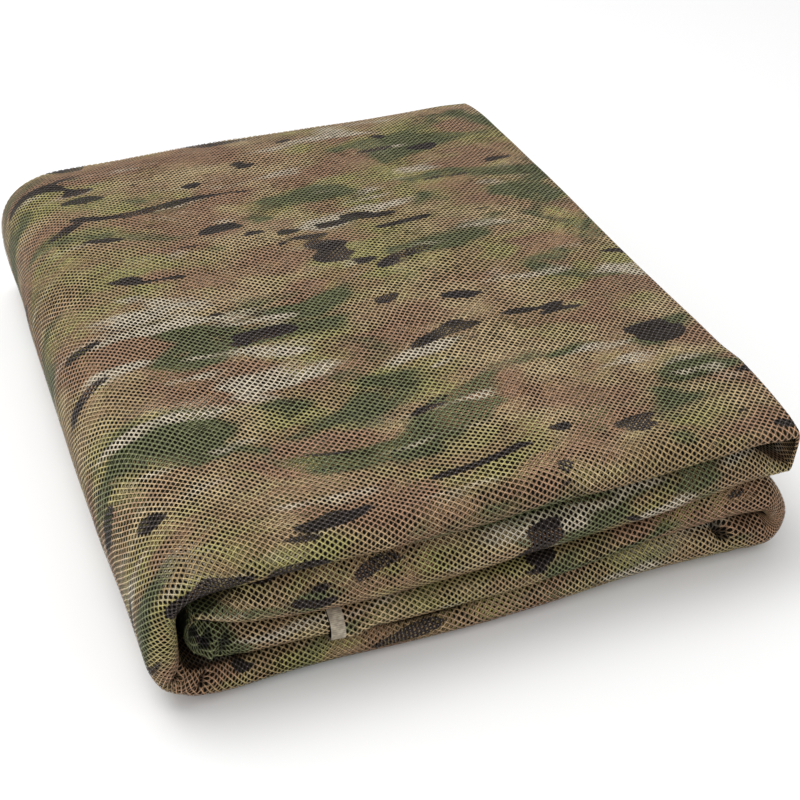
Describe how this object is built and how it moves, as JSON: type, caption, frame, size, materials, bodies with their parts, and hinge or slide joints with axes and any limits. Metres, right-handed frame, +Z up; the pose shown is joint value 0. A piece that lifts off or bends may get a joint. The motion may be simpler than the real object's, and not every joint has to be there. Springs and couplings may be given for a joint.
{
  "type": "folded camouflage net",
  "caption": "Camouflage-printed mesh net folded into a flat rectangular pack: a doubled strip of layers closed like a book, with a round spine at the left and rolled folds along the front.",
  "frame": {"origin": "on the floor, under the middle of the folded pack", "axes": "+Z up, through the thickness of the pack; +Y from the front folds to the back; +X along the front, from the round spine to the open-fold end"},
  "size_m": [0.3769, 0.4676, 0.0993],
  "materials": {
    "mesh_cloth": "matt polyester mesh with a woodland print"
  },
  "bodies": {
    "root": {"net": "mesh_cloth"}
  },
  "joints": []
}
